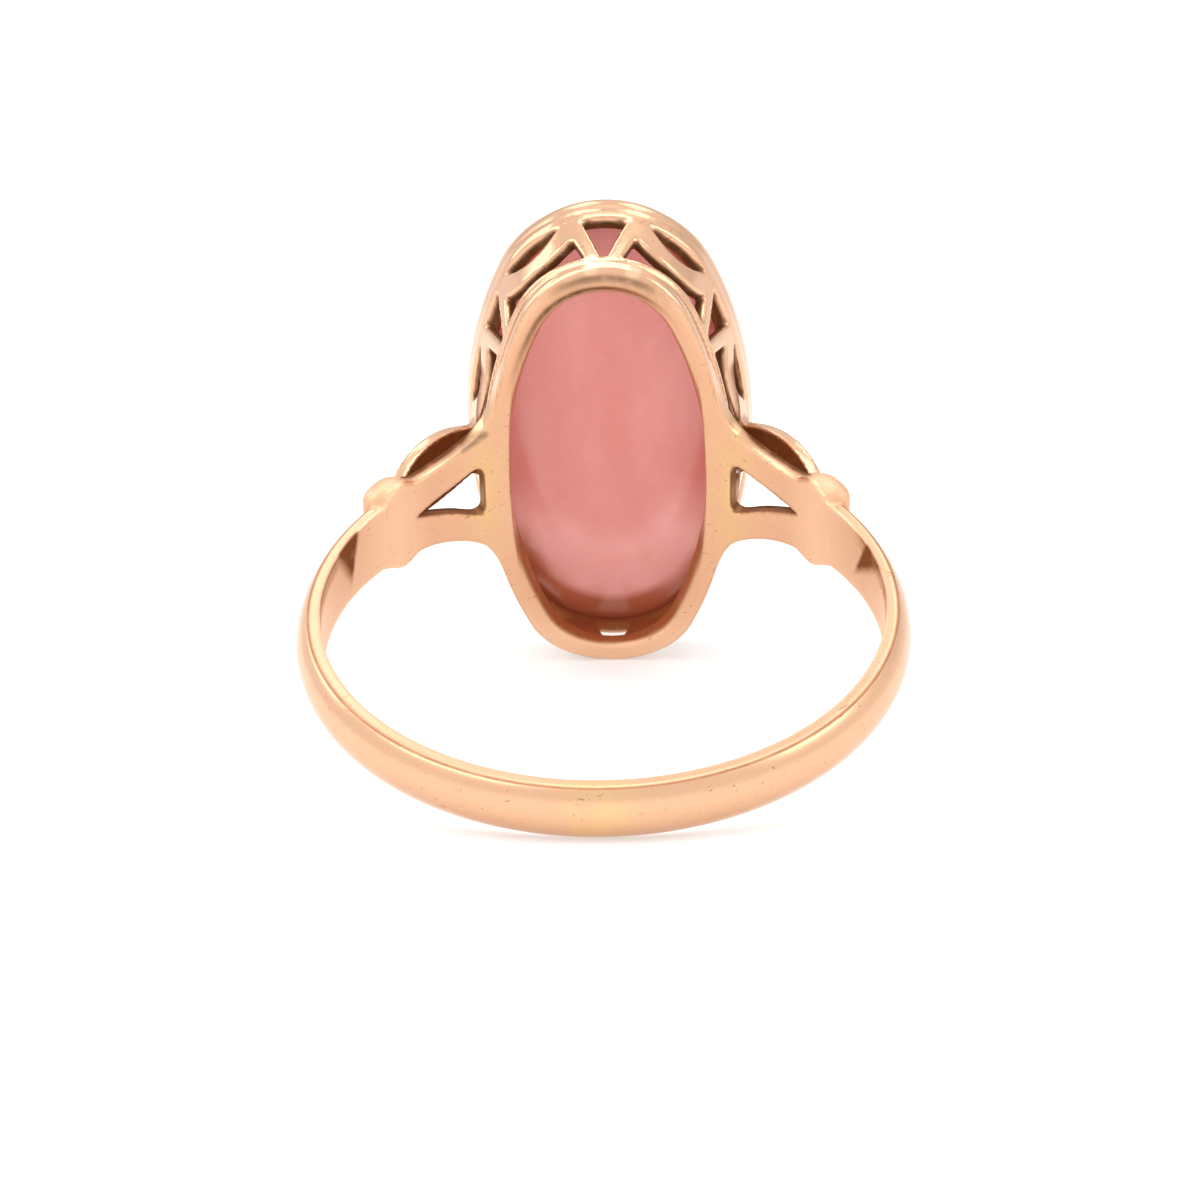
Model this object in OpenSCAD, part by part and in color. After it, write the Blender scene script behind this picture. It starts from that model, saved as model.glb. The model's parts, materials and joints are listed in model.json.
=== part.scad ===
// Rose gold finger ring with a long oval rose quartz cabochon in a pierced gallery setting.
// All sizes in millimetres. The ring is drawn about its finger axis (Z) with the head on +Y,
// then tipped over to the pose in which it lies by itself: +Z is up and the floor is Z = 0.

/* [Finger] */
// Inside diameter, the ring size
finger_d = 17.5; // [15:0.1:22]

/* [Shank] */
// Metal thickness at the crown of the band
band_t = 0.82; // [0.7:0.01:1.4]
// Width at the bottom of the band
band_w = 1.84; // [1.4:0.02:3]
// Width where the band meets the collars
band_w_top = 2.44; // [1.6:0.02:3.4]
// Radius of the rounded outer face, seen in the cross-section
band_crown_r = 1.8; // [1.4:0.1:8]

/* [Shoulders] */
// Angle from the head to the main bead of the collar
collar_angle = 49.5; // [48:0.5:50]
// Radius of the collar's main bead
bead_r = 0.54; // [0.4:0.01:0.6]
// Radius of the collar's second bead
bead_2_r = 0.5; // [0.3:0.01:0.52]
// Half the length of the main bead, ends included
bead_half = 1.64; // [1.5:0.02:1.9]
// Thickness of the forked arms
arm_t = 0.58; // [0.45:0.01:0.8]
// Half the width of the shoulder behind the collar
arm_half = 1.36; // [1.2:0.02:1.5]
// Half the width of the forked arms where they meet the head
arm_half_head = 2.3; // [2:0.05:2.5]
// Half the height of the gap between the arms at the head
fork_half = 0.9; // [0.7:0.02:1.1]
// Thickness of the arched leaf strap
leaf_t = 0.44; // [0.3:0.01:0.5]
// Half the width of the leaf strap at its middle
leaf_half = 1.22; // [0.9:0.02:1.4]

/* [Head] */
// Half the width of the base rail, across the finger
rail_b = 4.06; // [3.6:0.02:4.6]
// Half the length of the base rail, along the finger
rail_a = 7.86; // [7:0.02:8.6]
// Radius of the rail's rounded ends
end_r = 3.05; // [2.6:0.05:3.3]
// Half the width of the small flat at each end of the oval, on which the ring rests
end_flat = 0.75; // [0.3:0.05:0.8]
// Width of the rail's flat face
rail_w = 0.74; // [0.6:0.02:0.9]
// How far the gallery flares out from the rail to the bezel
flare = 0.8; // [0.6:0.02:1]
// Thickness of the gallery wall
wall_t = 0.5; // [0.4:0.02:0.6]
// Height of the whole head above the finger
head_h = 3.75; // [3.65:0.05:4.2]

/* [Stone] */
// How far the stone's outline stands out from the rail's outer edge
stone_off = 0.34; // [0.3:0.01:0.4]
// Height of the stone's straight edge
stone_edge_h = 0.75; // [0.6:0.05:0.9]
// Height of the dome over that edge
dome_h = 2.3; // [2:0.1:3.2]
// Gap all round between the stone and the metal
stone_gap = 0.04; // [0.03:0.01:0.06]

/* [Hidden] */
$fn = 180;
gold = [0.90, 0.62, 0.48];
rose_quartz = [0.88, 0.55, 0.53, 0.9];
finger_r = finger_d / 2;
band_r = finger_r + band_t;
// Radius of the band's outer face at a distance z from its middle
function band_face_r(z) = band_r - band_crown_r + sqrt(band_crown_r^2 - z^2);
band_edge_r = band_face_r(band_w / 2);
// The four arcs of the oval: the ends have radius end_r, the long sides side_r
side_r = (rail_a^2 + rail_b^2 - 2 * rail_a * end_r) / (2 * (rail_b - end_r));
side_half_angle = atan2(rail_a - end_r, side_r - rail_b);
end_len = end_r * (90 - side_half_angle) * PI / 180;
side_len = side_r * side_half_angle * PI / 180;
quarter = end_len + side_len;
// Levels on the head, measured from the finger axis
rail_face = finger_r;
rail_top = rail_face + 0.6;
holes_top = rail_face + 2.4;
seat = rail_face + 2.75;
widest = rail_face + 3.3;
head_top = rail_face + head_h;
rail_depth = rail_face - 1.6;
// Width of the ledge that the stone stands on
ledge_w = 0.25;
// Middle of the forked shoulder, as an angle from the head, and the angles between which it runs
shoulder_angle = 38;
shoulder_from = collar_angle + 4;
shoulder_to = collar_angle - 27;
// The second bead lies this many degrees further from the head, and is this much shorter at each end
bead_2_turn = 3.5;
bead_2_short = 0.12;
// The leaf strap bends round this hub, between these two angles; its long edges are arcs of leaf_edge_r
leaf_hub = [-0.65, 4.51];
leaf_r = 8.2;
leaf_from = 13;
leaf_to = 54;
leaf_edge_r = 5.5;
// Stock left inside the finger's cylinder, which is cut away last
stock = 0.1;
// The band runs this many degrees in under the collars
tuck = 2;
// Height of the band's end over its bottom, along the head's axis
band_reach = band_r * (1 + cos(collar_angle - tuck));
// How fast the band widens: higher stays narrow for longer
widening = 2.5;

// Offset of the gallery's outer face from the rail's outer edge at height h
function flare_at(h) = flare * max(0, h - rail_face) / (widest - rail_face);

// A point on the oval: s is the way along the rail from the end, off the distance outside it
function first_quarter(s, off) =
    s <= end_len
        ? let (t = s / end_r * 180 / PI)
            [(end_r + off) * sin(t), rail_a - end_r + (end_r + off) * cos(t)]
        : let (t = side_half_angle - (s - end_len) / side_r * 180 / PI)
            [rail_b - side_r + (side_r + off) * cos(t), (side_r + off) * sin(t)];
function oval_point(s, off) =
    let (w = ((s % (4 * quarter)) + 4 * quarter) % (4 * quarter), q = floor(w / quarter),
         u = w - q * quarter, p = first_quarter(q % 2 == 0 ? u : quarter - u, off))
    [(q < 2 ? 1 : -1) * p.x, (q == 0 || q == 3 ? 1 : -1) * p.y];

// The sections of a sweep round the oval: from the edge of the flat at its end to the middle of
// its side, closer together on the small end arc, and the same again in the other three quarters
end_steps = 8;
side_steps = 5;
quarter_ways = [for (i = [0 : end_steps + side_steps])
    i <= end_steps ? end_flat + (end_len - end_flat) * i / end_steps
        : end_len + side_len * (i - end_steps) / side_steps];
last_way = len(quarter_ways) - 1;
oval_ways = [for (q = [0 : 3]) for (i = [0 : last_way])
    if (q % 2 == 0 || i > 0)
        q % 2 == 0 ? q * quarter + quarter_ways[i] : (q + 1) * quarter - quarter_ways[last_way - i]];

// Sweeps a closed section round the oval: each of its points is [offset from the rail, height]
module round_the_oval(section) {
    n = len(section);
    count = len(oval_ways);
    points = [for (s = oval_ways) for (c = section) let (p = oval_point(s, c[0])) [p.x, p.y, c[1]]];
    polyhedron(points, [for (i = [0 : count - 1]) for (k = [0 : n - 1])
        let (i2 = (i + 1) % count, k2 = (k + 1) % n)
        [i * n + k, i2 * n + k, i2 * n + k2, i * n + k2]], convexity = 8);
}

// Cuts through the gallery wall: columns of [way along the rail, low edge, high edge]
module wall_opening(s0, columns) {
    n = len(columns);
    inside = 2 * wall_t + stock;
    outside = wall_t;
    points = [for (c = columns) let (s = s0 + c[0])
        for (corner = [[-inside, c[1]], [-inside, c[2]], [outside, c[2]], [outside, c[1]]])
            let (p = oval_point(s, flare_at(corner[1]) + corner[0])) [p.x, p.y, corner[1]]];
    polyhedron(points, concat([[3, 2, 1, 0]], [[4 * n - 4, 4 * n - 3, 4 * n - 2, 4 * n - 1]],
        [for (i = [0 : n - 2]) for (k = [0 : 3]) let (j = (k + 1) % 4)
            each [[4 * i + k, 4 * i + 4 + j, 4 * i + 4 + k], [4 * i + k, 4 * i + j, 4 * i + 4 + j]]]),
        convexity = 4);
}

// The three openings of the pierced pattern, in the way along the rail and the height
vee_half = 0.64;
vee_foot_half = 0.14;
vee_corner = 0.14;
lens_half = 0.98;
lens_corner = 0.08;
lens_drop = 0.66;
crescent_half = 1.83;
crescent_tip = 0.06;
crescent_peak = 1.46;
crescent_peak_h = 1;
crescent_middle_h = 0.36;
crescent_steps = 8;
vee = [[-vee_half, holes_top - vee_corner, holes_top], [-vee_foot_half, rail_top, holes_top],
       [vee_foot_half, rail_top, holes_top], [vee_half, holes_top - vee_corner, holes_top]];
lens = [for (u = [-1 : 0.2 : 1])
    [lens_half * u, holes_top - lens_corner - lens_drop * (1 - u^2), holes_top]];
// Top edge of the crescent: it dips in the middle, rises to a peak each side and runs out to a tip
function crescent_high(u) = rail_top + (abs(u) > crescent_peak
    ? crescent_tip + (crescent_peak_h - crescent_tip)
        * (crescent_half - abs(u)) / (crescent_half - crescent_peak)
    : crescent_middle_h + (crescent_peak_h - crescent_middle_h) * (u / crescent_peak)^2);
crescent = [for (k = [-crescent_steps - 1 : crescent_steps + 1])
    let (u = abs(k) > crescent_steps ? sign(k) * crescent_half : crescent_peak * k / crescent_steps)
        [u, rail_top, crescent_high(u)]];

// Rail, flared wall, seat and bezel in one section
stone_bay = stone_off + stone_gap;
head_section = [
    [-rail_w, rail_depth], [0, rail_depth], [0, rail_face], [flare, widest],
    [flare - 0.18, widest + 0.28], [stone_bay + 0.05, head_top], [stone_bay, head_top - 0.12],
    [stone_bay, seat], [stone_off - ledge_w, seat], [stone_off - ledge_w, seat - 0.1],
    [flare_at(holes_top) - wall_t, holes_top - 0.02], [flare_at(rail_top) - wall_t, rail_top + 0.1],
    [-rail_w, rail_top - 0.1]];

// Gallery and bezel, height along +Z
module head() {
    difference() {
        round_the_oval(head_section);
        for (k = [0 : 7]) {
            wall_opening(k * quarter / 2, vee);
            wall_opening((k + 0.5) * quarter / 2, lens);
            wall_opening((k + 0.5) * quarter / 2, crescent);
        }
    }
}

// Half the width of the band at a height h over its bottom: wider towards the shoulders
function band_half(h) = (band_w + (band_w_top - band_w) * (h / band_reach)^widening) / 2;

// The band from collar to collar
module shank() {
    steps = 14;
    hs = [for (i = [0 : steps]) (band_reach + stock) * i / steps];
    side = concat([[-1, band_w / 2]], [for (h = hs) [h, band_half(h)]],
        [for (i = [steps : -1 : 0]) [hs[i], -band_half(hs[i])]], [[-1, -band_w / 2]]);
    intersection() {
        rotate([0, 0, 90 + collar_angle - tuck]) rotate_extrude(angle = 360 - 2 * (collar_angle - tuck))
            intersection() {
                translate([finger_r - stock, -band_w_top]) square([band_t + 2 * stock, 2 * band_w_top]);
                translate([band_r - band_crown_r, 0]) circle(band_crown_r);
            }
        translate([0, -band_r, 0]) rotate([90, 0, 90])
            linear_extrude(height = 4 * band_r, center = true) polygon(side);
    }
}

// How far a bead's crown stands over the band
bead_rise = 0.22;
// A bead across the shoulder, with round ends
module bead(angle, r, half) {
    rotate([0, 0, 90 - angle]) translate([band_r + bead_rise - r, 0, 0]) {
        cylinder(r = r, h = 2 * (half - r), center = true);
        for (z = [-1, 1]) translate([0, 0, z * (half - r)]) sphere(r);
    }
}

// Shoulder plate and its two arms, seen along the shoulder's normal: x towards the head, y along Z
arm_edge = [[-2.1, arm_half], [-0.6, arm_half + 0.06], [0.45, arm_half + 0.34],
    [1.1, arm_half_head - 0.34], [1.6, arm_half_head], [2.1, arm_half_head + 0.6]];
fork_edge = [[-1.02, 0], [-0.5, 0.2 * fork_half], [0.6, 0.64 * fork_half], [1.3, 0.97 * fork_half],
    [1.54, 0.93 * fork_half], [1.68, 0.75 * fork_half]];
// An outline and its mirror image across y = 0
function both_sides(edge) =
    concat(edge, [for (i = [len(edge) - 1 : -1 : 0]) if (edge[i].y != 0) [edge[i].x, -edge[i].y]]);
module fork_outline() {
    difference() {
        union() {
            polygon(both_sides(arm_edge));
            for (side = [-1, 1])
                translate([-finger_r * sin(collar_angle - shoulder_angle), side * (bead_half - bead_r)])
                    circle(bead_r);
        }
        polygon(both_sides(fork_edge));
    }
}
module forked_arms() {
    intersection() {
        rotate([0, 0, 90 - shoulder_from]) rotate_extrude(angle = shoulder_from - shoulder_to)
            translate([finger_r - stock, -3]) square([arm_t + stock, 6]);
        rotate([0, 0, 90 - shoulder_angle]) rotate([90, 0, 90]) linear_extrude(height = 12)
            fork_outline();
    }
}

// Leaf strap that arches from the collar to the side of the bezel
module leaf_strap() {
    intersection() {
        translate(leaf_hub) rotate([0, 0, leaf_from]) rotate_extrude(angle = leaf_to - leaf_from)
            translate([leaf_r - leaf_t, -2]) square([leaf_t, 4]);
        translate(leaf_hub) rotate([0, 0, (leaf_from + leaf_to) / 2]) rotate([0, 90, 0])
            intersection_for (side = [-1, 1])
                translate([side * (leaf_edge_r - leaf_half), 0, 0]) cylinder(r = leaf_edge_r, h = 12);
    }
}

module shoulder() {
    bead(collar_angle, bead_r, bead_half);
    bead(collar_angle + bead_2_turn, bead_2_r, bead_half - bead_2_short);
    forked_arms();
    leaf_strap();
}

// Everything soldered together, trimmed to the finger
module soldered_ring() {
    difference() {
        union() {
            shank();
            shoulder();
            mirror([1, 0, 0]) shoulder();
            rotate([-90, 0, 0]) head();
        }
        cylinder(r = finger_r, h = 4 * rail_a, center = true);
    }
}

// The cabochon: a flat back, a straight edge and rings of points that shrink to the top of the dome
dome_rings = 8;
stone_foot = seat + stone_gap;
girdle = stone_foot + stone_edge_h;
stone_rings = concat([[1, stone_foot]],
    [for (k = [0 : dome_rings - 1]) let (t = 90 * k / dome_rings) [cos(t), girdle + dome_h * sin(t)]]);
stone_points = concat(
    [for (ring = stone_rings) for (s = oval_ways)
        let (p = oval_point(s, stone_off)) [p.x * ring[0], p.y * ring[0], ring[1]]],
    [[0, 0, girdle + dome_h]]);
module cabochon() {
    n = len(oval_ways);
    top = len(stone_points) - 1;
    last = len(stone_rings) - 1;
    polyhedron(stone_points, concat(
        [[for (i = [0 : n - 1]) n - 1 - i]],
        [for (k = [0 : last - 1]) for (i = [0 : n - 1]) let (j = (i + 1) % n)
            [k * n + i, k * n + j, (k + 1) * n + j, (k + 1) * n + i]],
        [for (i = [0 : n - 1]) [last * n + i, last * n + (i + 1) % n, top]]));
}

// The pose at rest: the ring lies on the lower edge of the band and on the flat at the rail's end
rest_y = sqrt(finger_r^2 - end_flat^2);
rest_z = oval_point(end_flat, 0).y;
tip = atan2(rest_z - band_w / 2, rest_y + band_edge_r);
lift = band_edge_r * sin(tip) + band_w / 2 * cos(tip);
function along_floor(y, z) = y * cos(tip) - z * sin(tip);
far_end = max([for (p = stone_points) along_floor(p.z, p.y)]);
near_end = min([for (z = [0 : 0.01 : band_w / 2]) along_floor(-band_face_r(z), z)]);
module at_rest() {
    translate([0, -(far_end + near_end) / 2, lift]) rotate([tip, 0, 0]) children();
}

module ring_mount() {
    color(gold) at_rest() soldered_ring();
}
module stone() {
    color(rose_quartz) at_rest() rotate([-90, 0, 0]) cabochon();
}

ring_mount();
stone();
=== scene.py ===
"""Looks of a rose gold ring with a long rose quartz cabochon, dressed on its packed CAD model.

The ring is described about its finger axis (Z) with the head on +Y, in millimetres, and then
laid down in the pose of the CAD model. The metal of the head and shoulders is one soft, soldered
form: distances to its parts are blended, and a mesh is drawn on their zero level.
"""

import json
import math
from functools import cache, partialmethod, reduce
from types import SimpleNamespace

import bpy
import numpy as np
from bpy.props import FloatProperty, FloatVectorProperty, PointerProperty
from mathutils import Matrix, Vector


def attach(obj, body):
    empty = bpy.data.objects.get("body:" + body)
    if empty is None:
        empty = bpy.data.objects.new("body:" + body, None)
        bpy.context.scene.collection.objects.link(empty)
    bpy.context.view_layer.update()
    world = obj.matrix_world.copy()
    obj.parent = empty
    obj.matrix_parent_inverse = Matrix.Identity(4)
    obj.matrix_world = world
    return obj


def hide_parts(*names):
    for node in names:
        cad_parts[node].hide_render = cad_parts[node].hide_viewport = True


bl_info = {
    "name": "Rose quartz ring",
    "version": (1, 0, 0),
    "blender": (4, 5, 0),
    "location": "3D View > Sidebar > Ring",
    "description": "Makes a pierced gallery ring with a long oval cabochon",
    "category": "Add Mesh",
}

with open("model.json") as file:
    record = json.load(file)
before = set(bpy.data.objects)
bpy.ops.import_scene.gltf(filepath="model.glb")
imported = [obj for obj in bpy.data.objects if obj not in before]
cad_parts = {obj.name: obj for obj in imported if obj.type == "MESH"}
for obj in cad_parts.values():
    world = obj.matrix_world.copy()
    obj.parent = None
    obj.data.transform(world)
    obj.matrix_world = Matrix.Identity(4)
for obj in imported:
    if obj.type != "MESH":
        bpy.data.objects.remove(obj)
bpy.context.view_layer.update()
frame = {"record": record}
BODY = "root"
MM = 0.001
FINGER = frame["record"]["mounts"][0]


def length(name, value, description):
    """A size, given here in millimetres."""
    return FloatProperty(name=name, description=description, default=value * MM, min=0.0,
                         subtype="DISTANCE", unit="LENGTH", precision=5)


def turn(name, degrees, description):
    """An angle, given here in degrees."""
    return FloatProperty(name=name, description=description, default=math.radians(degrees),
                         subtype="ANGLE", unit="ROTATION")


def colour(name, rgb, description):
    """A colour for a shader."""
    return FloatVectorProperty(name=name, description=description, default=rgb, size=3,
                               subtype="COLOR", min=0.0, max=1.0)


class RingBandSizes(bpy.types.PropertyGroup):
    """The band that goes round the finger"""
    finger: length("Finger radius", FINGER["dims"]["r_mm"], "Inside radius of the ring")
    thick: length("Thickness", 0.82, "Metal thickness at the crown of the band")
    width: length("Width", 1.84, "Width at the bottom of the band")
    width_top: length("Width at the collars", 2.44, "Width where the band meets the collars")
    crown: length("Crown radius", 1.8, "Radius of the rounded outer face, across the band")
    widening: FloatProperty(name="Widening", description="Higher keeps the band narrow for longer",
                            default=2.5, min=1.0, max=6.0)


class RingShoulderSizes(bpy.types.PropertyGroup):
    """Collars, forked arms and leaf straps"""
    collar: turn("Collar", 49.5, "Angle from the head to the collar's main bead")
    bead: length("Main bead", 0.54, "Radius of the collar's main bead")
    bead_half: length("Main bead half length", 1.64, "Half the length of the main bead")
    bead_2: length("Second bead", 0.5, "Radius of the collar's second bead")
    bead_2_half: length("Second bead half length", 1.52, "Half the length of the second bead")
    bead_2_turn: turn("Second bead", 3.5, "Angle from the main bead to the second bead")
    bead_rise: length("Bead rise", 0.22, "How far the beads stand over the band")
    arm: length("Arm thickness", 0.58, "Thickness of the forked arms")
    middle: turn("Middle", 38.0, "Angle from the head to the middle of the shoulder")
    leaf: length("Leaf thickness", 0.44, "Thickness of the leaf strap")
    leaf_half: length("Leaf half width", 1.22, "Half the width of the leaf strap at its middle")
    leaf_bend: length("Leaf bend", 8.2, "Radius of the leaf strap's arch")
    leaf_edge: length("Leaf edge", 5.5, "Radius of the leaf strap's long edges")


class RingHeadSizes(bpy.types.PropertyGroup):
    """Rail, pierced gallery and bezel"""
    half_width: length("Half width", 4.06, "Half the width of the base rail, across the finger")
    half_length: length("Half length", 7.86, "Half the length of the base rail, along the finger")
    end: length("End radius", 3.05, "Radius of the oval's rounded ends")
    rail: length("Rail width", 0.74, "Width of the rail's face")
    rail_more: length("Extra rail width", 0.12, "How much wider the rail's face is at the oval's ends")
    rail_lip: length("Rail lip", 0.45, "How much wider it is still at the upper end, as a second rim")
    rail_thick: length("Rail thickness", 0.6, "Thickness of the rail at the oval's ends")
    flare: length("Flare", 0.8, "How far the gallery leans out from the rail to the bezel")
    wall: length("Wall", 0.42, "Thickness of the gallery wall")
    holes: length("Top of the piercing", 2.4, "Height of the pierced band over the finger")
    seat: length("Seat", 2.75, "Height of the stone's seat over the finger")
    widest: length("Widest", 3.3, "Height of the bezel's widest line over the finger")
    height: length("Height", 3.75, "Height of the whole head over the finger")
    ledge: length("Ledge", 0.25, "Width of the ledge that the stone stands on")


class RingStoneSizes(bpy.types.PropertyGroup):
    """The cabochon"""
    off: length("Outline", 0.34, "How far the stone stands out from the rail's outer edge")
    edge: length("Edge", 0.75, "Height of the stone's straight edge")
    dome: length("Dome", 2.3, "Height of the dome over that edge")
    gap: length("Gap", 0.04, "Gap all round between the stone and the metal")


class RingColours(bpy.types.PropertyGroup):
    """Colours of the materials"""
    gold: colour("Rose gold", (0.735, 0.437, 0.270), "Polished rose gold")
    gold_pale: colour("Pale gold", (0.75, 0.475, 0.315), "Paler clouds in the gold")
    # Painted light: a paler gold that lifts the faces on the finger and marks the glints on the rail's
    # upper end
    worn: colour("Worn gold", (0.89, 0.59, 0.39), "Paler metal that the finger has rubbed")
    solder: colour("Solder", (0.76, 0.51, 0.23), "Yellower metal where the parts were soldered")
    # Fire stain, and the painted grey shade along the outer line on the rail's upper end
    stain: colour("Fire stain", (0.31, 0.20, 0.12), "Grey marks left by the solder's flux")
    # Red brown: real tarnish in the hollows, and also painted shade under the leaf, in the fork and on
    # the rail's lower inner side, and painted dark reflections along the band's edges
    tarnish: colour("Tarnish", (0.25, 0.072, 0.018), "Red brown tarnish that polishing never reaches")
    # Painted shade deep inside the head's lower end, a lighter red brown than the tarnish; also part
    # of the fork's painted shade and of the band's tarnish patch
    copper: colour("Copper", (0.42, 0.135, 0.047), "Brighter tarnish deep inside the head")
    # Dark grime in the piercing's cuts, and painted shade in the fork and under the leaf
    umber: colour("Umber", (0.085, 0.036, 0.012), "Darker grime in the narrow cuts")
    quartz: colour("Quartz", (0.74, 0.27, 0.237), "Deep pink of the stone")
    # Pale pink of the stone's veils, and painted light near the back's lower end and along its sides
    quartz_pale: colour("Pale quartz", (0.90, 0.545, 0.515), "Cloudy pink in the stone's veils")
    # Painted shade: the red brown of the stone's back where it is shaded at the ledge
    quartz_deep: colour("Deep quartz", (0.55, 0.185, 0.095), "Red brown of the stone's shaded edge")
    floor: colour("Floor", (0.62, 0.62, 0.62), "The floor and backdrop")


class RingCamera(bpy.types.PropertyGroup):
    """The camera, seen from the middle of the finger hole"""
    distance: length("Distance", 100.0, "From the middle of the finger hole to the lens")
    height: turn("Height", 35.92, "Angle of the camera above the plane of the band")
    side: turn("Side", -1.89, "How far the ring is turned about the finger")
    roll: turn("Roll", -1.49, "How far the picture is turned")
    lens: FloatProperty(name="Lens", description="Focal length in millimetres", default=96.07)
    shift: FloatVectorProperty(name="Shift", description="Where the middle of the hole lies",
                               default=(-0.0029, 0.0226), size=2)


SETTINGS = {"ring_band": RingBandSizes, "ring_shoulder": RingShoulderSizes,
            "ring_head": RingHeadSizes, "ring_stone": RingStoneSizes,
            "ring_colours": RingColours, "ring_camera": RingCamera}


def settings(name):
    """One of the scene's property groups."""
    return getattr(bpy.context.scene, name)


def sizes(name):
    """The sizes in one property group: lengths in millimetres, angles in radians."""
    group, kinds = settings(name), SETTINGS[name].bl_rna.properties
    return SimpleNamespace(**{
        key: getattr(group, key) / (MM if kinds[key].subtype == "DISTANCE" else 1.0)
        for key in SETTINGS[name].__annotations__})


# Laying the ring down

def lie_down(unit=1.0):
    """The matrix from the ring's own axes, in the given unit, to the floor, in metres."""
    axis = Vector(FINGER["axis"])
    tip = math.atan2(-axis.y, axis.z)
    return (Matrix.Translation(Vector(FINGER["pos_m"])) @ Matrix.Rotation(tip, 4, "X")
            @ Matrix.Scale(unit, 4))


def laid(points):
    """Points of the ring in millimetres, as an array, where they lie on the floor."""
    m = np.array(lie_down(MM))
    return points @ m[:3, :3].T + m[:3, 3]


def ramp(value, low, high):
    """0 below low, 1 above high, smooth in between; high may be the lower of the two."""
    t = np.clip((value - low) / (high - low), 0.0, 1.0)
    return t * t * (3 - 2 * t)


# Blends of distances: inside is below zero, and soft is the width of the blend

def common(a, b, soft):
    """What lies in both, with a soft edge."""
    h = np.maximum(soft - np.abs(a - b), 0.0) / soft
    return np.maximum(a, b) + h * h * soft / 4


def joined(a, b, soft):
    """What lies in either, with a soft fillet."""
    return -common(-a, -b, soft)


def smooth_way(x, xs, ys):
    """A smooth curve through a few points, from half cosines, and its slope."""
    i = np.clip(np.searchsorted(xs, x) - 1, 0, len(xs) - 2)
    xs = np.asarray(xs, dtype=float)
    ys = np.asarray(ys, dtype=float)
    slopes = np.gradient(ys, xs)
    w = xs[i + 1] - xs[i]
    t = np.clip((x - xs[i]) / w, 0.0, 1.0)
    value = ((1 + 2 * t) * (1 - t) ** 2 * ys[i] + t * (1 - t) ** 2 * w * slopes[i]
             + t * t * (3 - 2 * t) * ys[i + 1] + t * t * (t - 1) * w * slopes[i + 1])
    return value, np.interp(x, xs, slopes)


class Oval:
    """The four-arc oval that rail, gallery, bezel and stone follow."""

    def __init__(self, head):
        a, b, end = head.half_length, head.half_width, head.end
        self.a, self.b, self.end = a, b, end
        self.side = (a * a + b * b - 2 * a * end) / (2 * (b - end))
        self.side_angle = math.atan2(a - end, self.side - b)
        self.end_len = end * (math.pi / 2 - self.side_angle)
        self.quarter = self.end_len + self.side * self.side_angle

    def place(self, x, z):
        """Distance outside the oval, and the way along it from its end, for x and z from zero up."""
        side_x = x - (self.b - self.side)
        angle = np.arctan2(z, side_x)
        end_z = z - (self.a - self.end)
        at_end = angle > self.side_angle
        off = np.where(at_end, np.hypot(x, end_z) - self.end, np.hypot(side_x, z) - self.side)
        way = np.where(at_end, np.arctan2(x, end_z) * self.end,
                       self.end_len + (self.side_angle - angle) * self.side)
        return off, way


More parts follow.
